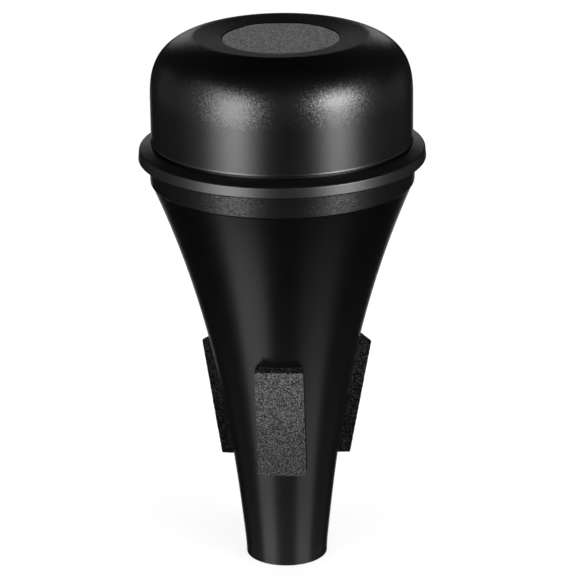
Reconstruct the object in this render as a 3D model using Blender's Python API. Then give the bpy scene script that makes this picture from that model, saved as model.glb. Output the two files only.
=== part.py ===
# Trumpet mute: a flared cone that stands on its small open end, a ring above the cone's collar, a domed
# push-on cap with an inlay in its dished top, and three foam strips that wedge the mute in a bell.
# Metres, +Z up. The origin is on the axis, at the face of the small end. The front is towards -Y.

import math

import bmesh
import bpy
from mathutils import Matrix, Vector

MM = 0.001

# Clearances
SEAT_GAP = 0.3 * MM  # between pieces that rest on each other
GLUE_GAP = 0.15 * MM  # on each side of an adhesive layer or of the seal
SPIGOT_CLEARANCE = 0.3 * MM  # from the spigot to what slides over it, on the radius

# Cone: a straight taper with a flare added to it
CONE_LENGTH = 118.0 * MM  # from the small end to the foot of the collar
SMALL_END_RADIUS = 12.25 * MM
TAPER_SHARE = 0.46  # how much of the widening is straight taper
FLARE_POWER = 2.6  # how late the rest of it opens
CONE_WALL = 2.0 * MM
RIM_ROUND = 0.2 * MM  # rounding of the small end's outer edge

# Collar at the cone's wide end, and the spigot that stands on it
COLLAR_OVERHANG = 0.62 * MM  # how far it stands out past the cap's side
COLLAR_STEP = 1.95 * MM  # how far it stands out from the cone's wide end
COLLAR_HEIGHT = 10.05 * MM
COLLAR_SLOPE = 3.3 * MM  # height of the slope from the cone's wide end out to the collar's side
SPIGOT_HEIGHT = 14.0 * MM
SPIGOT_WALL = 2.6 * MM
SPIGOT_CHAMFER = 0.6 * MM

# Rubber seal in a groove of the spigot
SEAL_CORD = 1.5 * MM  # diameter of its round section
SEAL_DROP = 4.0 * MM  # from the spigot's top to the middle of the seal

# Bumper ring
RING_OVERHANG = 3.6 * MM  # how far the top of its outer band stands out past the cap's side
RING_FOOT_SPREAD = 0.33 * MM  # how much wider the band is at its foot
RING_BAND_HEIGHT = 3.1 * MM
RING_EDGE_ROUND = 0.35 * MM
RING_TOP_RISE = 1.3 * MM  # how far its sloping top rises inward
RING_LAND_HEIGHT = 0.45 * MM  # raised land that the cap sits on
RING_LAND_SETBACK = 0.6 * MM  # from the cap's outside in to the land

# Cap: a straight side under a full, rounded crown
CAP_RADIUS = 38.9 * MM
CAP_WALL = 2.2 * MM
CAP_SIDE_HEIGHT = 12.0 * MM
CAP_EDGE_CHAMFER = 0.3 * MM
CROWN_RISE = 20.92 * MM
CROWN_REACH = 29.2 * MM  # how far in from the side the crown would level out
CROWN_POWER = 3.06  # 2 would be an ellipse, more is squarer

# Dish in the cap's top, and the inlay in it
LIP_RADIUS = 25.5 * MM
LIP_ROUND = 0.5 * MM  # width of the rounding on each side of the lip
DISH_DEPTH = 1.05 * MM
INLAY_RADIUS = 17.35 * MM
INLAY_THICKNESS = 1.0 * MM
INLAY_SINK = 0.1 * MM  # from the dish's foot down to the inlay's face
INLAY_TAPE = 0.2 * MM
INLAY_TAPE_MARGIN = 1.0 * MM

# Foam strips round the cone
PAD_NAMES = ("front", "right", "left")
PAD_FIRST_AZIMUTH = math.radians(-3.8)  # from -Y, positive towards +X
PAD_LEANS = (math.radians(-0.5), math.radians(-3.4), math.radians(0.8))  # they are stuck on by hand
PAD_RISES = (0.65 * MM, -0.4 * MM, -1.55 * MM)  # and not all at one height
PAD_WIDTH = 14.5 * MM
PAD_THICKNESS = 3.3 * MM
PAD_LOW_END = 32.9 * MM
PAD_HIGH_END = 68.6 * MM
PAD_TAPE = 0.2 * MM
PAD_TAPE_MARGIN = 0.4 * MM

# Fineness of the turned shapes
TURN_STEPS = 64
FLARE_STEPS = 14
BORE_STEPS = 9
CROWN_STEPS = 11
ROUND_STEPS = 3
SEAL_SIDES = 8
SHARP_ANGLE = math.radians(35)  # edges that turn more than this are shaded as edges
MERGE = 0.001 * MM

# Heights of the stack, from the small end up
COLLAR_TOP = CONE_LENGTH + COLLAR_HEIGHT
SPIGOT_TOP = COLLAR_TOP + SPIGOT_HEIGHT
RING_FOOT = COLLAR_TOP + SEAT_GAP
RING_BAND_TOP = RING_FOOT + RING_BAND_HEIGHT
RING_SHOULDER = RING_BAND_TOP + RING_TOP_RISE
RING_LAND_TOP = RING_SHOULDER + RING_LAND_HEIGHT
CAP_FOOT = RING_LAND_TOP + SEAT_GAP
CROWN_FOOT = CAP_FOOT + CAP_SIDE_HEIGHT
SEAL_MIDDLE = SPIGOT_TOP - SEAL_DROP

# Radii that follow from the cap's side, and from what slides over what
RING_RADIUS = CAP_RADIUS + RING_OVERHANG
COLLAR_RADIUS = CAP_RADIUS + COLLAR_OVERHANG
LARGE_END_RADIUS = COLLAR_RADIUS - COLLAR_STEP
CROWN_LEVEL_RADIUS = CAP_RADIUS - CROWN_REACH
CAP_BORE = CAP_RADIUS - CAP_WALL
SPIGOT_RADIUS = CAP_BORE - SPIGOT_CLEARANCE
SPIGOT_BORE = SPIGOT_RADIUS - SPIGOT_WALL
RING_BORE = SPIGOT_RADIUS + SPIGOT_CLEARANCE
RING_LAND_RADIUS = CAP_RADIUS - RING_LAND_SETBACK
GROOVE_FLOOR = CAP_BORE - 2 * GLUE_GAP - SEAL_CORD
GROOVE_HALF_WIDTH = SEAL_CORD / 2 + SEAT_GAP
POCKET_RADIUS = INLAY_RADIUS + SEAT_GAP
POCKET_DEPTH = INLAY_SINK + INLAY_THICKNESS + GLUE_GAP + INLAY_TAPE + GLUE_GAP


def material(name, color, roughness):
    made = bpy.data.materials.new(name)
    made.use_nodes = True
    shader = made.node_tree.nodes["Principled BSDF"]
    shader.inputs["Base Color"].default_value = (*color, 1.0)
    shader.inputs["Roughness"].default_value = roughness
    shader.inputs["Metallic"].default_value = 0.0
    made.diffuse_color = (*color, 1.0)
    return made


def arc(center, radii, start, end, steps):
    # Points (radius, height) on an ellipse's arc, both ends included, with angles in degrees.
    points = []
    for i in range(steps + 1):
        angle = math.radians(start + (end - start) * i / steps)
        radius = center[0] + radii[0] * math.cos(angle)
        height = center[1] + radii[1] * math.sin(angle)
        points.append((radius, height))
    return points


def place(mesh, name, finish):
    made = bpy.data.objects.new(name, mesh)
    mesh.materials.append(finish)
    bpy.context.scene.collection.objects.link(made)
    return made


def turned(name, outline, finish, closed=True):
    # Turns an outline of (radius, height) points about the Z axis. An open outline has both ends on the axis.
    bm = bmesh.new()
    corners = [bm.verts.new((radius, 0.0, height)) for radius, height in outline]
    edges = [bm.edges.new(pair) for pair in zip(corners, corners[1:])]
    if closed:
        edges.append(bm.edges.new((corners[-1], corners[0])))
    bmesh.ops.spin(
        bm,
        geom=corners + edges,
        cent=(0.0, 0.0, 0.0),
        axis=(0.0, 0.0, 1.0),
        angle=math.tau,
        steps=TURN_STEPS,
        use_merge=True,
    )
    bmesh.ops.remove_doubles(bm, verts=bm.verts, dist=MERGE)
    bmesh.ops.recalc_face_normals(bm, faces=bm.faces)
    mesh = bpy.data.meshes.new(name)
    bm.to_mesh(mesh)
    bm.free()
    mesh.shade_smooth()
    mesh.set_sharp_from_angle(angle=SHARP_ANGLE)
    return place(mesh, name, finish)


def flare_radius(height):
    share = height / CONE_LENGTH
    opening = TAPER_SHARE * share + (1 - TAPER_SHARE) * share**FLARE_POWER
    return SMALL_END_RADIUS + (LARGE_END_RADIUS - SMALL_END_RADIUS) * opening


def flare(offset=0.0):
    # The cone's outer line from its wide end down to its small end.
    heights = [CONE_LENGTH * (1 - i / FLARE_STEPS) for i in range(FLARE_STEPS + 1)]
    return [(flare_radius(height) + offset, height) for height in heights]


def crown_height(radius):
    run = (radius - CROWN_LEVEL_RADIUS) / CROWN_REACH
    return CROWN_FOOT + CROWN_RISE * (1 - run**CROWN_POWER) ** (1 / CROWN_POWER)


def crown(inset=0.0):
    # The crown's line from the lip's radius out and down to the cap's straight side, or a line inside it.
    reach = CROWN_REACH - inset
    rise = CROWN_RISE - inset
    lip_run = (LIP_RADIUS - CROWN_LEVEL_RADIUS) / reach
    start = math.acos(lip_run ** (CROWN_POWER / 2))
    points = []
    for i in range(CROWN_STEPS + 1):
        angle = start * (1 - i / CROWN_STEPS)
        radius = CROWN_LEVEL_RADIUS + reach * math.cos(angle) ** (2 / CROWN_POWER)
        height = CROWN_FOOT + rise * math.sin(angle) ** (2 / CROWN_POWER)
        points.append((radius, height))
    return points


def make_cone_body(finish):
    outline = [
        (SPIGOT_BORE, SPIGOT_TOP),
        (SPIGOT_RADIUS - SPIGOT_CHAMFER, SPIGOT_TOP),
        (SPIGOT_RADIUS, SPIGOT_TOP - SPIGOT_CHAMFER),
        (SPIGOT_RADIUS, SEAL_MIDDLE + GROOVE_HALF_WIDTH),
        (GROOVE_FLOOR, SEAL_MIDDLE + GROOVE_HALF_WIDTH),
        (GROOVE_FLOOR, SEAL_MIDDLE - GROOVE_HALF_WIDTH),
        (SPIGOT_RADIUS, SEAL_MIDDLE - GROOVE_HALF_WIDTH),
        (SPIGOT_RADIUS, COLLAR_TOP),
        (COLLAR_RADIUS, COLLAR_TOP),
        (COLLAR_RADIUS, CONE_LENGTH + COLLAR_SLOPE),
    ]
    outline += flare()[:-1]
    outline += arc((SMALL_END_RADIUS - RIM_ROUND, RIM_ROUND), (RIM_ROUND, RIM_ROUND), 0, -90, ROUND_STEPS)
    for i in range(BORE_STEPS + 1):
        height = CONE_LENGTH * i / BORE_STEPS
        outline.append((min(flare_radius(height) - CONE_WALL, SPIGOT_BORE), height))
    return turned("cone_body", outline, finish)


def make_cap_seal(finish):
    middle = (GROOVE_FLOOR + GLUE_GAP + SEAL_CORD / 2, SEAL_MIDDLE)
    section = arc(middle, (SEAL_CORD / 2, SEAL_CORD / 2), 0, -360, SEAL_SIDES)
    return turned("cap_seal", section[:-1], finish)


def make_bumper_ring(finish):
    rounding = (RING_EDGE_ROUND, RING_EDGE_ROUND)
    top_start = 90 - math.degrees(math.atan2(RING_TOP_RISE, RING_OVERHANG - SEAT_GAP))
    foot_radius = RING_RADIUS + RING_FOOT_SPREAD
    top_round = (RING_RADIUS - RING_EDGE_ROUND, RING_BAND_TOP - RING_EDGE_ROUND)
    foot_round = (foot_radius - RING_EDGE_ROUND, RING_FOOT + RING_EDGE_ROUND)
    outline = [
        (RING_BORE, RING_LAND_TOP),
        (RING_LAND_RADIUS, RING_LAND_TOP),
        (RING_LAND_RADIUS, RING_SHOULDER),
        (CAP_RADIUS + SEAT_GAP, RING_SHOULDER),
    ]
    outline += arc(top_round, rounding, top_start, 0, ROUND_STEPS)
    outline += arc(foot_round, rounding, 0, -90, ROUND_STEPS)
    outline.append((RING_BORE, RING_FOOT))
    return turned("bumper_ring", outline, finish)


def dish_foot():
    return crown_height(LIP_RADIUS) - DISH_DEPTH


def make_end_cap(finish):
    foot = dish_foot()
    pocket_floor = foot - POCKET_DEPTH
    lip_height = crown_height(LIP_RADIUS)
    dish_slope = DISH_DEPTH / (LIP_RADIUS - POCKET_RADIUS)
    outside = [
        (0.0, pocket_floor),
        (POCKET_RADIUS, pocket_floor),
        (POCKET_RADIUS, foot),
        (LIP_RADIUS - LIP_ROUND, lip_height - LIP_ROUND * dish_slope),
        (LIP_RADIUS + LIP_ROUND, crown_height(LIP_RADIUS + LIP_ROUND)),
    ]
    outside += crown()[1:]
    outside += [
        (CAP_RADIUS, CAP_FOOT + CAP_EDGE_CHAMFER),
        (CAP_RADIUS - CAP_EDGE_CHAMFER, CAP_FOOT),
    ]
    inside = [(CAP_BORE, CAP_FOOT)]
    inside += list(reversed(crown(CAP_WALL)))
    inside += [
        (POCKET_RADIUS + CAP_WALL, pocket_floor - CAP_WALL),
        (0.0, pocket_floor - CAP_WALL),
    ]
    return turned("end_cap", outside + inside, finish, closed=False)


def make_disc(name, radius, foot, thickness, finish):
    outline = [
        (0.0, foot + thickness),
        (radius, foot + thickness),
        (radius, foot),
        (0.0, foot),
    ]
    return turned(name, outline, finish, closed=False)


def make_inlay(disc_finish, tape_finish):
    tape_foot = dish_foot() - POCKET_DEPTH + GLUE_GAP
    disc_foot = tape_foot + INLAY_TAPE + GLUE_GAP
    make_disc("disc_tape", INLAY_RADIUS - INLAY_TAPE_MARGIN, tape_foot, INLAY_TAPE, tape_finish)
    make_disc("top_disc", INLAY_RADIUS, disc_foot, INLAY_THICKNESS, disc_finish)


def make_cone_cutter(name, offset, finish):
    # A solid cone that stands an offset outside the cone body, to shape what is stuck on it.
    outline = [(0.0, CONE_LENGTH)] + flare(offset) + [(0.0, 0.0)]
    cutter = turned(name, outline, finish, closed=False)
    cutter.hide_render = True
    cutter.display_type = "WIRE"
    return cutter


def cut(piece, cutter, operation):
    boolean = piece.modifiers.new(operation.title(), "BOOLEAN")
    boolean.operation = operation
    boolean.solver = "EXACT"
    boolean.object = cutter


def make_strip(name, azimuth, lean, rise, margin, finish):
    # A block over the cone's line between the pads' ends. Its outer face is flat, and it reaches in halfway
    # to the axis.
    low = Vector((flare_radius(PAD_LOW_END + rise), PAD_LOW_END + rise))
    high = Vector((flare_radius(PAD_HIGH_END + rise), PAD_HIGH_END + rise))
    length = (high - low).length - 2 * margin
    middle = (low + high) / 2
    slope = math.atan2(high.x - low.x, high.y - low.y)
    width = PAD_WIDTH - 2 * margin
    depth = PAD_THICKNESS + middle.x / 2
    bm = bmesh.new()
    bmesh.ops.create_cube(bm, size=1.0)
    bmesh.ops.scale(bm, vec=(width, depth, length), verts=bm.verts)
    bmesh.ops.translate(bm, vec=(0.0, depth / 2 - PAD_THICKNESS, 0.0), verts=bm.verts)
    mesh = bpy.data.meshes.new(name)
    bm.to_mesh(mesh)
    bm.free()
    strip = place(mesh, name, finish)
    turn = Matrix.Rotation(azimuth, 4, "Z")
    tilt = Matrix.Rotation(slope, 4, "X") @ Matrix.Rotation(lean, 4, "Y")
    strip.matrix_world = turn @ Matrix.Translation((0.0, -middle.x, middle.y)) @ tilt
    return strip


def make_bell_pads(foam_finish, tape_finish):
    tape_inside = make_cone_cutter("tape_inside", GLUE_GAP, tape_finish)
    tape_outside = make_cone_cutter("tape_outside", GLUE_GAP + PAD_TAPE, tape_finish)
    pad_inside = make_cone_cutter("pad_inside", GLUE_GAP + PAD_TAPE + GLUE_GAP, foam_finish)
    spacing = math.tau / len(PAD_NAMES)
    for i, (name, lean, rise) in enumerate(zip(PAD_NAMES, PAD_LEANS, PAD_RISES)):
        azimuth = PAD_FIRST_AZIMUTH + i * spacing
        pad = make_strip("bell_pad_" + name, azimuth, lean, rise, 0.0, foam_finish)
        cut(pad, pad_inside, "DIFFERENCE")
        tape = make_strip("pad_tape_" + name, azimuth, lean, rise, PAD_TAPE_MARGIN, tape_finish)
        cut(tape, tape_outside, "INTERSECT")
        cut(tape, tape_inside, "DIFFERENCE")


for old in list(bpy.data.objects):
    bpy.data.objects.remove(old, do_unlink=True)

satin_abs = material("satin_black_abs", (0.014, 0.014, 0.015), 0.36)
smooth_rubber = material("smooth_black_rubber", (0.012, 0.012, 0.012), 0.42)
seal_rubber = material("seal_rubber", (0.02, 0.02, 0.02), 0.6)
grey_foam = material("grey_eva_foam", (0.06, 0.06, 0.06), 0.95)
grey_inlay = material("grey_textured_inlay", (0.085, 0.085, 0.085), 0.8)
adhesive = material("adhesive_tape", (0.25, 0.25, 0.24), 0.7)

make_cone_body(satin_abs)
make_cap_seal(seal_rubber)
make_bumper_ring(smooth_rubber)
make_end_cap(satin_abs)
make_inlay(grey_inlay, adhesive)
make_bell_pads(grey_foam, adhesive)
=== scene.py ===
import math

import bmesh
import bpy
from mathutils import Matrix, Vector, noise


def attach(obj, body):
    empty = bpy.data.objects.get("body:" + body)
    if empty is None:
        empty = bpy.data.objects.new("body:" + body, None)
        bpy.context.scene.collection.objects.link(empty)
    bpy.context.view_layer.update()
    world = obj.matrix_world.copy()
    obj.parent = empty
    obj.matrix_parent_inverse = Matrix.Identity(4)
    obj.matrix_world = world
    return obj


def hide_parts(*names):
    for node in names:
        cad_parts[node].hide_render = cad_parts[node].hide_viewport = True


# The looks of a trumpet mute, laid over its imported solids. Metres, +Z up, and the front is towards -Y.
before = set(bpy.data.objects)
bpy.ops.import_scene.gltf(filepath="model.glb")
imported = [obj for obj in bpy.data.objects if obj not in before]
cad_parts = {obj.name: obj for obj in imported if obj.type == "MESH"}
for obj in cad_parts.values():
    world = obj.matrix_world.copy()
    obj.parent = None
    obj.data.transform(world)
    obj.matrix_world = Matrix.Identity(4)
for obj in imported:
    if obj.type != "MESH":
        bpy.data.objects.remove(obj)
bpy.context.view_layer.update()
mm = 0.001
turnSteps = 192  # round the axis, on every turned piece
roundSteps = 5  # in every rounded corner
sharpAngle = 40.0  # degrees at which an edge starts to be shaded sharp
mergeReach = 0.001  # millimetres
print("frame loaded:", len(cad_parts), "nodes")


class Wire:
    # One output of a shader node. Arithmetic on it adds Math nodes.
    def __init__(self, finish, socket):
        self.finish = finish
        self.socket = socket

    def __add__(self, other):
        return self.finish.math("ADD", self, other)

    def __sub__(self, other):
        return self.finish.math("SUBTRACT", self, other)

    def __rsub__(self, other):
        return self.finish.math("SUBTRACT", other, self)

    def __mul__(self, other):
        return self.finish.math("MULTIPLY", self, other)

    __radd__ = __add__
    __rmul__ = __mul__


class Finish:
    # A material or a world, built up node by node.
    def __init__(self, block):
        block.use_nodes = True
        self.block = block
        self.tree = block.node_tree
        self.tree.nodes.clear()

    def node(self, kind, settings=None, inputs=None, output=0):
        made = self.tree.nodes.new("ShaderNode" + kind)
        for name, value in (settings or {}).items():
            setattr(made, name, value)
        for name, value in (inputs or {}).items():
            if isinstance(value, Wire):
                self.tree.links.new(value.socket, made.inputs[name])
            else:
                made.inputs[name].default_value = value
        return Wire(self, made.outputs[output]) if made.outputs else None

    def math(self, operation, first, second):
        return self.node("Math", {"operation": operation}, {0: first, 1: second})

    def place(self):
        return self.node("TexCoord", output="Object")

    def speckle(self, place, size, breakUp=0.5):
        # Values about 0.5, in blotches this many millimetres across, with this share of finer ones in them.
        blotches = {"Vector": place, "Scale": 1 / (size * mm), "Detail": 2.0, "Roughness": breakUp}
        return self.node("TexNoise", inputs=blotches)

    def grains(self, place, size):
        # A random colour for each grain, with grains this many millimetres across.
        return self.node("TexVoronoi", inputs={"Vector": place, "Scale": 1 / (size * mm)}, output="Color")

    def between(self, value, low, high):
        # 0 at low, 1 at high, and a smooth change from one to the other. Low may be the greater one.
        span = {"Value": value, "From Min": low, "From Max": high}
        return self.node("MapRange", {"interpolation_type": "SMOOTHSTEP"}, span)

    def tint(self, share, dark, light):
        # A colour between two others. Inputs 6 and 7 and output 2 are the Mix node's colours.
        blend = {"Factor": share, 6: (*dark, 1.0), 7: (*light, 1.0)}
        return self.node("Mix", {"data_type": "RGBA"}, blend, output=2)

    def facets(self, grains, tilt):
        # The surface's normal, tipped a little another way on each grain. A grain's colour averages a half.
        lean = self.node("VectorMath", {"operation": "SUBTRACT"}, {0: grains, 1: (0.5, 0.5, 0.5)})
        lean = self.node("VectorMath", {"operation": "SCALE"}, {0: lean, "Scale": tilt})
        plain = self.node("NewGeometry", output="Normal")
        tipped = self.node("VectorMath", {"operation": "ADD"}, {0: plain, 1: lean})
        return self.node("VectorMath", {"operation": "NORMALIZE"}, {0: tipped})

    def relief(self, height, depth):
        # Turns a height of 0 to 1 into a bump this many millimetres deep.
        return self.node("Bump", inputs={"Strength": 1.0, "Distance": depth * mm, "Height": height})

    def close(self, shader):
        self.node("OutputMaterial", inputs={"Surface": shader})
        return self.block


def newFinish(name):
    return Finish(bpy.data.materials.new(name))


def satinPlastic(name, look):
    # Black moulded plastic with a spark-eroded grain, whose facets glitter where the light catches them.
    # The grain is nearly polished off low down, and full higher up.
    finish = newFinish(name)
    place = finish.place()
    height = finish.node("SeparateXYZ", inputs={"Vector": place}, output="Z")
    low, high = look["grainFrom"]
    full = finish.between(height, low * mm, high * mm) * (1 - look["polished"]) + look["polished"]
    cloud = finish.speckle(place, look["cloud"])
    rough = look["roughness"] + (cloud - 0.5) * look["unevenness"]
    grains = finish.grains(place, look["grain"])
    shader = finish.node(
        "BsdfPrincipled",
        inputs={
            "Base Color": finish.tint(grains, look["dark"], look["light"]),
            "Roughness": rough,
            "Specular IOR Level": look["gloss"],
            "Coat Weight": finish.between(height, look["shineTo"] * mm, 0.0) * look["shine"],
            "Coat Roughness": look["roughness"],
            "Normal": finish.facets(grains, full * look["tilt"]),
        },
    )
    return finish.close(shader)


capLook = dict(
    dark=(0.0, 0.0, 0.0),
    light=(0.0012, 0.0012, 0.0012),
    roughness=0.3,
    unevenness=0.04,  # how far the roughness wanders
    cloud=9.0,  # over patches of this size
    gloss=1.0,
    grain=0.3,
    tilt=0.11,  # how far the facets lean
    grainFrom=(144.0, 152.0),  # heights between which the grain comes up
    polished=0.1,  # share of the grain that is left below them
    shine=0.7,  # extra gloss at the foot of the mute, polished by handling
    shineTo=28.0,  # height at which it has faded out
)
coneLook = dict(capLook, roughness=0.29, grainFrom=(120.8, 121.6), tilt=0.08, polished=0.15)
ringLook = dict(capLook, roughness=0.37, grainFrom=(128.0, 140.0))
sealLook = dict(capLook, roughness=0.6, light=(0.024, 0.024, 0.024), gloss=0.4)
capPlastic = satinPlastic("capPlastic", capLook)
conePlastic = satinPlastic("conePlastic", coneLook)
ringRubber = satinPlastic("ringRubber", ringLook)
sealRubber = satinPlastic("sealRubber", sealLook)


def grainyFoam(name, look):
    # Closed-cell foam with a finely pitted skin. Each grain has its own grey, with painted shade that
    # darkens it towards the low end.
    finish = newFinish(name)
    place = finish.place()
    cells = finish.speckle(place, look["cell"], look["breakUp"])
    height = finish.node("SeparateXYZ", inputs={"Vector": place}, output="Z")
    # Painted shade: the grey is darkened towards the low end, where the light falls off.
    least, low, high = look["paintedShade"]
    unshaded = finish.between(height, low * mm, high * mm) * (1 - least) + least
    share = finish.between(finish.grains(place, look["grain"]), look["lowCut"], look["highCut"]) * unshaded
    shader = finish.node(
        "BsdfPrincipled",
        inputs={
            "Base Color": finish.tint(share, look["dark"], look["light"]),
            "Roughness": look["roughness"],
            "Specular IOR Level": look["gloss"],
            "Normal": finish.relief(cells, look["depth"]),
        },
    )
    return finish.close(shader)


foamLook = dict(
    dark=(0.008, 0.008, 0.008),
    light=(0.24, 0.24, 0.24),
    grain=0.25,
    lowCut=0.3,  # grains under this share are fully dark
    highCut=1.0,
    cell=0.4,  # size of the pits
    breakUp=0.6,  # share of finer pits in them
    depth=0.06,
    roughness=0.9,
    gloss=0.3,
    # painted shade: the low end is darkened, standing in for light that falls off down the strips
    paintedShade=(0.5, 34.0, 70.0),  # how dark the low end is beside the high end, and between which heights
)
# The strips' cut sides and ends are painted a darker grey, as shade on faces turned away from the lamps.
shadedCutFoamLook = dict(
    foamLook, dark=(0.001, 0.001, 0.001), light=(0.075, 0.075, 0.075), lowCut=0.5, gloss=0.05
)
inlayLook = dict(foamLook, depth=0.04, dark=(0.018, 0.018, 0.018), light=(0.17, 0.17, 0.17), lowCut=0.2)
tapeLook = dict(foamLook, cell=1.5, depth=0.01, dark=(0.1, 0.1, 0.1), light=(0.2, 0.2, 0.2))
padSkin = grainyFoam("padSkin", foamLook)
padCutShaded = grainyFoam("padCutShaded", shadedCutFoamLook)
inlayFelt = grainyFoam("inlayFelt", inlayLook)
tapeFilm = grainyFoam("tapeFilm", tapeLook)
print("finishes made")


def newLine(corners, closed=True):
    # A line of (radius, height, rounding) corners in millimetres, drawn as edges in the XZ plane.
    bm = bmesh.new()
    points = [bm.verts.new((radius * mm, 0.0, height * mm)) for radius, height, _ in corners]
    ends = points[1:] + points[:1] if closed else points[1:]
    for pair in zip(points, ends):
        bm.edges.new(pair)
    for point, (_, _, rounding) in zip(points, corners):
        if rounding:
            bmesh.ops.bevel(
                bm,
                geom=[point],
                offset=rounding * mm,
                offset_type="OFFSET",
                segments=roundSteps,
                profile=0.5,
                affect="VERTICES",
                clamp_overlap=True,
                material=-1,
            )
    return bm


def addHolds(bm, shortest=0.72, spacing=1.5, hold=0.12):
    # Straight runs over the shortest get a point close to each end, so that shading stays flat, and points
    # between at about this spacing. All in millimetres.
    for edge in bm.edges[:]:
        length = edge.calc_length() / mm
        if length > shortest:
            middle, first = bmesh.utils.edge_split(edge, edge.verts[0], hold / length)
            far = edge if first not in edge.verts or edge.calc_length() > middle.calc_length() else middle
            other = far.other_vert(first)
            middle, _ = bmesh.utils.edge_split(far, other, hold / (length - hold))
            core = far if far.calc_length() > middle.calc_length() else middle
            cuts = int(core.calc_length() / mm / spacing)
            if cuts:
                bmesh.ops.subdivide_edges(bm, edges=[core], cuts=cuts)


def finishPiece(name, bm, materials, body, nodes):
    # Makes the object, which rides on its body and stands for its CAD nodes.
    mesh = bpy.data.meshes.new(name)
    bm.to_mesh(mesh)
    bm.free()
    mesh.shade_smooth()
    mesh.set_sharp_from_angle(angle=math.radians(sharpAngle))
    for material in materials:
        mesh.materials.append(material)
    piece = bpy.data.objects.new(name, mesh)
    bpy.context.scene.collection.objects.link(piece)
    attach(piece, body)
    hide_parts(*nodes)
    print(name, len(mesh.polygons), "faces")
    return piece


def turn(bm):
    # Turns the line about the Z axis into a closed surface.
    line = bm.verts[:] + bm.edges[:]
    around = dict(cent=(0.0, 0.0, 0.0), axis=(0.0, 0.0, 1.0), angle=math.tau, steps=turnSteps)
    bmesh.ops.spin(bm, geom=line, use_merge=True, **around)
    bmesh.ops.remove_doubles(bm, verts=bm.verts, dist=mergeReach * mm)
    bmesh.ops.recalc_face_normals(bm, faces=bm.faces)


cone = dict(
    length=118.0,  # from the small end to the foot of the collar
    smallEnd=12.28,  # radius
    footSpread=0.22,  # how much the small end widens again at its rim
    footHeight=5.0,  # over this height
    wideEnd=37.75,  # radius
    taperShare=0.46,  # how much of the widening is straight taper
    flarePower=2.66,  # how late the rest of it opens
    wall=2.0,
    flareSteps=72,
    collarRadius=39.67,
    collarDraft=0.3,  # how much narrower the collar is at its foot
    collarTop=128.05,
    collarSlope=3.3,  # height of the slope from the wide end out to the collar's side
    collarStep=(0.35, 0.25),  # how far the slope ends inside the collar's foot, and below it
    spigotRadius=36.4,
    spigotBore=33.8,
    spigotTop=142.05,
    grooveFloor=34.9,
    grooveMiddle=138.05,
    grooveHalf=1.05,
    edgeRound=0.35,
    rimRound=0.15,
)


def flareRadius(height):
    # The cone's outer radius at a height.
    share = height / cone["length"]
    opening = cone["taperShare"] * share + (1 - cone["taperShare"]) * share ** cone["flarePower"]
    spread = cone["footSpread"] * max(0.0, 1 - height / cone["footHeight"]) ** 2
    return cone["smallEnd"] + (cone["wideEnd"] - cone["smallEnd"]) * opening + spread


def coneCorners():
    # Down the outside from the spigot's top, round the small end's rim, and up the inside.
    soft = cone["edgeRound"]
    grooveTop = cone["grooveMiddle"] + cone["grooveHalf"]
    grooveFoot = cone["grooveMiddle"] - cone["grooveHalf"]
    corners = [
        (cone["spigotBore"], cone["spigotTop"], soft),
        (cone["spigotRadius"], cone["spigotTop"], 2 * soft),
        (cone["spigotRadius"], grooveTop, soft / 2),
        (cone["grooveFloor"], grooveTop, soft / 2),
        (cone["grooveFloor"], grooveFoot, soft / 2),
        (cone["spigotRadius"], grooveFoot, soft / 2),
        (cone["spigotRadius"], cone["collarTop"], soft / 2),
        (cone["collarRadius"], cone["collarTop"], soft),
    ]
    footRadius = cone["collarRadius"] - cone["collarDraft"]
    footHeight = cone["length"] + cone["collarSlope"]
    corners.append((footRadius, footHeight, soft / 2))
    corners.append((footRadius - cone["collarStep"][0], footHeight - cone["collarStep"][1], 0))
    heights = [cone["length"] * (1 - i / cone["flareSteps"]) for i in range(cone["flareSteps"])]
    corners += [(flareRadius(height), height, 0) for height in heights]
    corners.append((flareRadius(0.0), 0.0, cone["rimRound"]))
    corners.append((flareRadius(0.0) - cone["wall"], 0.0, cone["rimRound"]))
    for height in reversed(heights):
        corners.append((min(flareRadius(height) - cone["wall"], cone["spigotBore"]), height, 0))
    return corners


def makeCone():
    bm = newLine(coneCorners())
    addHolds(bm, shortest=1.9)  # longer than a step of the flare
    turn(bm)
    finishPiece("coneShell", bm, [conePlastic], "mute_body", ["cone_body"])


ring = dict(
    bore=36.7,
    footRadius=42.83,
    topRadius=42.5,
    foot=128.18,
    bandTop=131.45,
    shoulder=132.75,
    shoulderRadius=39.2,
    landRadius=37.3,
    landTop=133.2,
    edgeRound=0.4,
)


def makeRing():
    soft = ring["edgeRound"]
    corners = [
        (ring["bore"], ring["landTop"], soft / 2),
        (ring["landRadius"], ring["landTop"], soft / 3),
        (ring["landRadius"], ring["shoulder"], 0),
        (ring["shoulderRadius"], ring["shoulder"], soft / 2),
        (ring["topRadius"], ring["bandTop"], soft),
        (ring["footRadius"], ring["foot"], soft),
        (ring["bore"], ring["foot"], soft / 2),
    ]
    bm = newLine(corners)
    addHolds(bm)
    turn(bm)
    finishPiece("bumperRing", bm, [ringRubber], "mute_body", ["bumper_ring"])


seal = dict(middleRadius=35.8, middleHeight=138.05, cord=1.5, sides=20)


def makeSeal():
    bm = bmesh.new()
    bmesh.ops.create_circle(bm, radius=seal["cord"] / 2 * mm, segments=seal["sides"])
    bmesh.ops.rotate(bm, verts=bm.verts, matrix=Matrix.Rotation(math.radians(90), 3, "X"))
    bmesh.ops.translate(bm, verts=bm.verts, vec=(seal["middleRadius"] * mm, 0, seal["middleHeight"] * mm))
    turn(bm)
    finishPiece("sealRing", bm, [sealRubber], "mute_body", ["cap_seal"])


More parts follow.
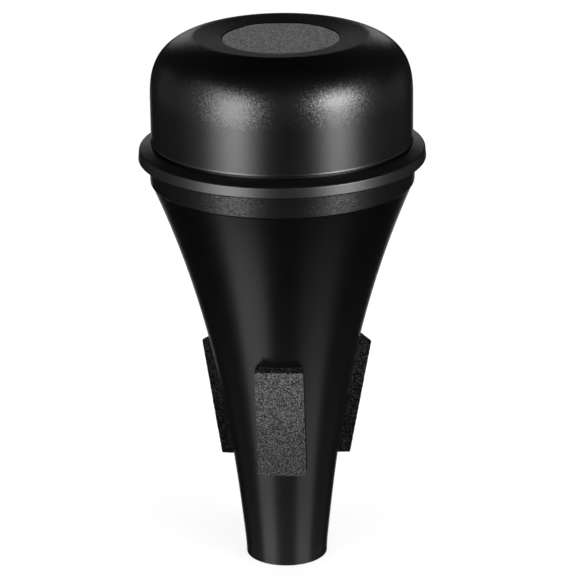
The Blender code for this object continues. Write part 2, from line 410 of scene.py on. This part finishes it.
cap = dict(
    radius=38.9,
    bore=36.7,
    foot=133.5,
    crownFoot=145.5,
    crownRise=20.92,
    crownReach=29.2,
    crownPower=3.06,
    crownSteps=48,
    crownInnerSteps=24,
    wall=2.2,
    wallRound=0.5,
    lipRadius=25.5,
    lipRound=0.8,
    lipRoom=1.0,  # what the lip's rounding takes of the crown
    dishDepth=1.05,
    dishRound=0.25,
    pocketRadius=17.65,
    pocketDepth=1.6,
    pocketRound=0.15,
    beadHeight=0.35,  # a slight outward flare along the cap's foot
    beadReach=0.11,
    beadRound=0.1,
    footRound=0.2,
    boreRound=0.3,
)


def crownHeight(radius):
    run = (radius - cap["radius"] + cap["crownReach"]) / cap["crownReach"]
    return cap["crownFoot"] + cap["crownRise"] * (1 - run ** cap["crownPower"]) ** (1 / cap["crownPower"])


def crownCorners(inset, steps):
    # The crown's line from the lip's radius out and down to the straight side, or one this far inside it.
    reach = cap["crownReach"] - inset
    rise = cap["crownRise"] - inset
    level = cap["radius"] - cap["crownReach"]
    start = math.acos(((cap["lipRadius"] - level) / reach) ** (cap["crownPower"] / 2))
    corners = []
    for i in range(steps + 1):
        angle = start * (1 - i / steps)
        radius = level + reach * math.cos(angle) ** (2 / cap["crownPower"])
        height = cap["crownFoot"] + rise * math.sin(angle) ** (2 / cap["crownPower"])
        corners.append((radius, height, 0))
    return corners


def makeCap():
    lip = crownHeight(cap["lipRadius"])
    dishFoot = lip - cap["dishDepth"]
    pocketFloor = dishFoot - cap["pocketDepth"]
    crownStart = cap["lipRadius"] + cap["lipRoom"]
    corners = [
        (0.0, pocketFloor, 0),
        (cap["pocketRadius"], pocketFloor, cap["pocketRound"]),
        (cap["pocketRadius"], dishFoot, cap["dishRound"]),
        (cap["lipRadius"], lip, cap["lipRound"]),
    ]
    corners += [corner for corner in crownCorners(0.0, cap["crownSteps"]) if corner[0] > crownStart]
    corners += [
        (cap["radius"], cap["foot"] + 2 * cap["beadHeight"], 0),
        (cap["radius"] + cap["beadReach"], cap["foot"] + cap["beadHeight"], cap["beadRound"]),
        (cap["radius"], cap["foot"], cap["footRound"]),
        (cap["bore"], cap["foot"], cap["boreRound"]),
    ]
    corners += reversed(crownCorners(cap["wall"], cap["crownInnerSteps"]))
    corners += [
        (cap["pocketRadius"] + cap["wall"], pocketFloor - cap["wall"], cap["wallRound"]),
        (0.0, pocketFloor - cap["wall"], 0),
    ]
    bm = newLine(corners, closed=False)
    addHolds(bm)
    turn(bm)
    finishPiece("domedCap", bm, [capPlastic], "cap", ["end_cap"])


inlay = dict(radius=17.35, top=164.167, thickness=1.0, edgeRound=0.2, footRound=0.1)


def makeInlay():
    foot = inlay["top"] - inlay["thickness"]
    corners = [
        (0.0, inlay["top"], 0),
        (inlay["radius"], inlay["top"], inlay["edgeRound"]),
        (inlay["radius"], foot, inlay["footRound"]),
        (0.0, foot, 0),
    ]
    bm = newLine(corners, closed=False)
    addHolds(bm)
    turn(bm)
    finishPiece("inlayDisc", bm, [inlayFelt], "cap", ["top_disc"])


pads = dict(
    names=("front", "right", "left"),
    firstAzimuth=-3.8,
    leans=(-0.5, -3.4, 0.8),
    ends=((33.55, 69.25), (32.1, 68.65), (31.35, 67.85)),  # low and high, on the axis
    width=14.5,
    thickness=3.3,
    fill=0.9,
    spacing=0.28,  # between the points of a face
    sideCuts=13,
    cornerRound=0.6,
    clearance=0.5,  # to the cone, with room for the adhesive
    rimClearance=0.15,  # the same along the strip's edges
    rimWidth=0.35,
    slides=6,  # in which a point finds the cone
    grain=0.55,
    fractal=(0.8, 2.0, 3),  # increment, gap and octaves of the rough skin
    faceRelief=0.07,
    sideRelief=0.09,
)


def padMatrix(azimuth, lean, ends):
    # Where a strip lies, along the cone's slope between its two ends, and how long it is.
    low, high = (Vector((flareRadius(end), end)) for end in ends)
    middle = (low + high) / 2
    slope = math.atan2(high.x - low.x, high.y - low.y)
    turned = Matrix.Rotation(math.radians(azimuth), 4, "Z")
    leant = Matrix.Rotation(slope, 4, "X") @ Matrix.Rotation(math.radians(lean), 4, "Y")
    return turned @ Matrix.Translation(Vector((0.0, -middle.x, middle.y)) * mm) @ leant, (high - low).length


def sinkToCone(point, inward, clearance):
    # Slides a point along a direction until it stands this far off the cone.
    for _ in range(pads["slides"]):
        radius = flareRadius(point.z / mm) + clearance
        off = (math.hypot(point.x, point.y) / mm - radius) * mm
        point = point + inward * off
    return point


def roundCorner(co, halfWidth, halfLength):
    # Draws the points of a square corner of the strip in to a round one.
    pull = pads["cornerRound"] * mm
    across = abs(co.x) - halfWidth + pull
    along = abs(co.z) - halfLength + pull
    if across > 0 and along > 0:
        share = max(across, along) / math.hypot(across, along)
        co.x = math.copysign(halfWidth - pull + across * share, co.x)
        co.z = math.copysign(halfLength - pull + along * share, co.z)


def makePad(name, azimuth, lean, ends):
    matrix, length = padMatrix(azimuth, lean, ends)
    width = pads["width"]
    bm = bmesh.new()
    across = round(width / pads["spacing"])
    along = round(length / pads["spacing"])
    bmesh.ops.create_grid(bm, x_segments=across, y_segments=along, size=0.5)  # one metre square
    bmesh.ops.scale(bm, vec=(width * mm, length * mm, 1.0), verts=bm.verts)
    bmesh.ops.rotate(bm, verts=bm.verts, matrix=Matrix.Rotation(math.radians(90), 3, "X"))
    bmesh.ops.translate(bm, verts=bm.verts, vec=(0.0, -pads["thickness"] * mm, 0.0))
    outer = set(bm.verts)
    for vert in outer:
        roundCorner(vert.co, width / 2 * mm, length / 2 * mm)
    skin = set(bm.faces)
    grown = bmesh.ops.extrude_face_region(bm, geom=bm.faces[:], use_keep_orig=True)["geom"]
    for face in bm.faces:
        face.material_index = 0 if face in skin else 1
    inner = {part for part in grown if isinstance(part, bmesh.types.BMVert)}
    inward = matrix.to_3x3() @ Vector((0.0, 1.0, 0.0))
    rim = pads["rimWidth"] * mm
    for vert in inner:
        edgeDistance = min(width / 2 * mm - abs(vert.co.x), length / 2 * mm - abs(vert.co.z))
        clearance = pads["rimClearance"] if edgeDistance < rim else pads["clearance"]
        vert.co = sinkToCone(matrix @ vert.co, inward, clearance)
    for vert in outer:
        vert.co = matrix @ vert.co
    walls = [edge for edge in bm.edges if (edge.verts[0] in outer) != (edge.verts[1] in outer)]
    bmesh.ops.subdivide_edges(bm, edges=walls, cuts=pads["sideCuts"], use_grid_fill=True)
    bmesh.ops.recalc_face_normals(bm, faces=bm.faces)
    bm.normal_update()
    for vert in set(bm.verts) - inner:
        depth = pads["faceRelief"] if vert in outer else pads["sideRelief"]
        swell = noise.fractal(vert.co / (pads["grain"] * mm), *pads["fractal"])
        vert.co += vert.normal * swell * depth * mm
    skins = [padSkin, padCutShaded]
    piece = finishPiece("pad" + name.title(), bm, skins, "mute_body", ["bell_pad_" + name])


makeCone()
makeRing()
makeSeal()
makeCap()
makeInlay()
for index, name in enumerate(pads["names"]):
    azimuth = pads["firstAzimuth"] + index * 360 / len(pads["names"])
    makePad(name, azimuth, pads["leans"][index], pads["ends"][index])
for node in ("disc_tape", "pad_tape_front", "pad_tape_right", "pad_tape_left"):
    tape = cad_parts[node]
    tape.data.materials.clear()
    tape.data.materials.append(tapeFilm)
print("pieces made")


floorLook = dict(halfSide=6.0, drop=0.2, paint=0.25, glow=0.8)  # metres, millimetres and two shares


def makeFloor():
    # White to the camera, with a little paint under it that keeps the shadow. Low lamps shine through it.
    finish = newFinish("whiteFloor")
    paint = finish.node("BsdfDiffuse", inputs={"Color": (floorLook["paint"],) * 3 + (1.0,)})
    seen = finish.node("LightPath", output="Is Camera Ray")
    light = {"Color": (1.0, 1.0, 1.0, 1.0), "Strength": seen * floorLook["glow"]}
    glow = finish.node("Emission", inputs=light)
    material = finish.close(finish.node("AddShader", inputs={0: paint, 1: glow}))
    bm = bmesh.new()
    bmesh.ops.create_grid(bm, x_segments=1, y_segments=1, size=floorLook["halfSide"])
    mesh = bpy.data.meshes.new("floor")
    bm.to_mesh(mesh)
    bm.free()
    mesh.materials.append(material)
    floor = bpy.data.objects.new("floor", mesh)
    floor.location.z = -floorLook["drop"] * mm
    bpy.context.scene.collection.objects.link(floor)
    floor.visible_shadow = False
    floor.visible_glossy = False


def makeWorld():
    # White to the camera and through clear things, and black to the gloss, which the lamps alone light.
    sky = bpy.data.worlds.new("studio")
    bpy.context.scene.world = sky
    finish = Finish(sky)
    ray = finish.node("LightPath", output="Is Camera Ray")
    through = finish.node("LightPath", output="Is Transmission Ray")
    strength = finish.math("MAXIMUM", ray, through)
    shader = finish.node("Background", inputs={"Color": (1.0, 1.0, 1.0, 1.0), "Strength": strength})
    finish.node("OutputWorld", inputs={"Surface": shader})


# Each softbox as it is seen from the mute: the azimuth and elevation of its middle, its width and height,
# all in degrees, and its radiance. Azimuth 0 is the front, positive to the right. The cores make the
# middles of the key lights brighter. The matt ones light no gloss, so that it keeps its dark parts.
lamps = dict(
    keyLeft=(-43, 4, 44, 40, 2.3),
    keyLeftCore=(-41, 4, 21, 40, 3.3),
    keyLeftTop=(-50, 30, 32, 12, 2.1),
    keyRight=(49, -6, 34, 20, 2.4),
    keyRightCore=(48, -6, 14, 20, 2.7),
    keyRightHigh=(49, 14, 34, 20, 6.7),
    keyRightHighCore=(48, 14, 14, 20, 3.6),
    keyRightTop=(54, 30, 24, 12, 4.0),
    lowLeft=(-51, -43, 32, 28, 0.66),
    lowRight=(49, -36, 34, 12, 0.63),
    lowRightFloor=(49, -50, 34, 14, 0.1),
    lowFront=(5, -36, 54, 16, 0.13),
    lowSideLeft=(-92, -30, 52, 12, 0.07),
    lowSideRight=(92, -30, 52, 12, 0.07),
    sideLeft=(-79, 14, 26, 60, 0.21),
    sideRight=(79, 14, 26, 60, 0.11),
    shoulderLeft=(-113, 4, 43, 34, 0.1),
    shoulderRight=(113, -2, 43, 24, 0.1),
    roomLeft=(-125, 12, 76, 90, 0.014),
    roomRight=(125, 12, 76, 90, 0.018),
    rimLeft=(-169, 9, 9, 12, 0.8),
    rimRight=(169, 9, 9, 12, 0.8),
    backCardLow=(180, -28, 34, 30, 0.6),
    backCard=(180, 15, 26, 8, 0.3),
    mattTop=(0, 80, 50, 50, 3.0),
    mattBack=(180, 20, 70, 40, 2.0),
)
mattLamps = ("mattTop", "mattBack")
lampDistance = 2.0
lampStep = 0.01  # each lamp stands this much farther off than the one before, so that no two share a plane
lampTarget = Vector((0.0, 0.0, 0.09))


def makeLamp(name, azimuth, elevation, width, height, radiance, distance):
    azimuth = math.radians(azimuth)
    elevation = math.radians(elevation)
    level = math.cos(elevation)
    toward = Vector((math.sin(azimuth) * level, -math.cos(azimuth) * level, math.sin(elevation)))
    light = bpy.data.lights.new(name, "AREA")
    light.shape = "RECTANGLE"
    light.size = 2 * distance * math.tan(math.radians(width / 2))
    light.size_y = 2 * distance * math.tan(math.radians(height / 2))
    light.energy = radiance * math.pi * light.size * light.size_y
    lamp = bpy.data.objects.new(name, light)
    lamp.location = lampTarget + toward * distance
    lamp.rotation_euler = (-toward).to_track_quat("-Z", "Y").to_euler()
    lamp.visible_glossy = name not in mattLamps
    bpy.context.scene.collection.objects.link(lamp)


view = dict(
    distance=900.2,  # from the target, on the axis, to the lens
    target=80.0,
    pitch=19.908,
    roll=0.7,
    lens=185.68,
    sensor=36.0,
    shiftX=0.00677,
    shiftY=0.03443,
)


def makeCamera():
    data = bpy.data.cameras.new("camera")
    data.lens = view["lens"]
    data.sensor_width = view["sensor"]
    data.shift_x = view["shiftX"]
    data.shift_y = view["shiftY"]
    camera = bpy.data.objects.new("camera", data)
    pitch = math.radians(view["pitch"])
    back = view["distance"] * mm
    camera.location = (0.0, -back * math.cos(pitch), view["target"] * mm + back * math.sin(pitch))
    tilt = Matrix.Rotation(math.radians(90) - pitch, 4, "X")
    roll = Matrix.Rotation(-math.radians(view["roll"]), 4, "Z")
    camera.rotation_euler = (tilt @ roll).to_euler()
    bpy.context.scene.collection.objects.link(camera)
    bpy.context.scene.camera = camera


makeFloor()
makeWorld()
for index, (name, look) in enumerate(lamps.items()):
    makeLamp(name, *look, lampDistance + index * lampStep)
makeCamera()
bpy.context.scene.view_settings.view_transform = "Standard"
print("studio made")
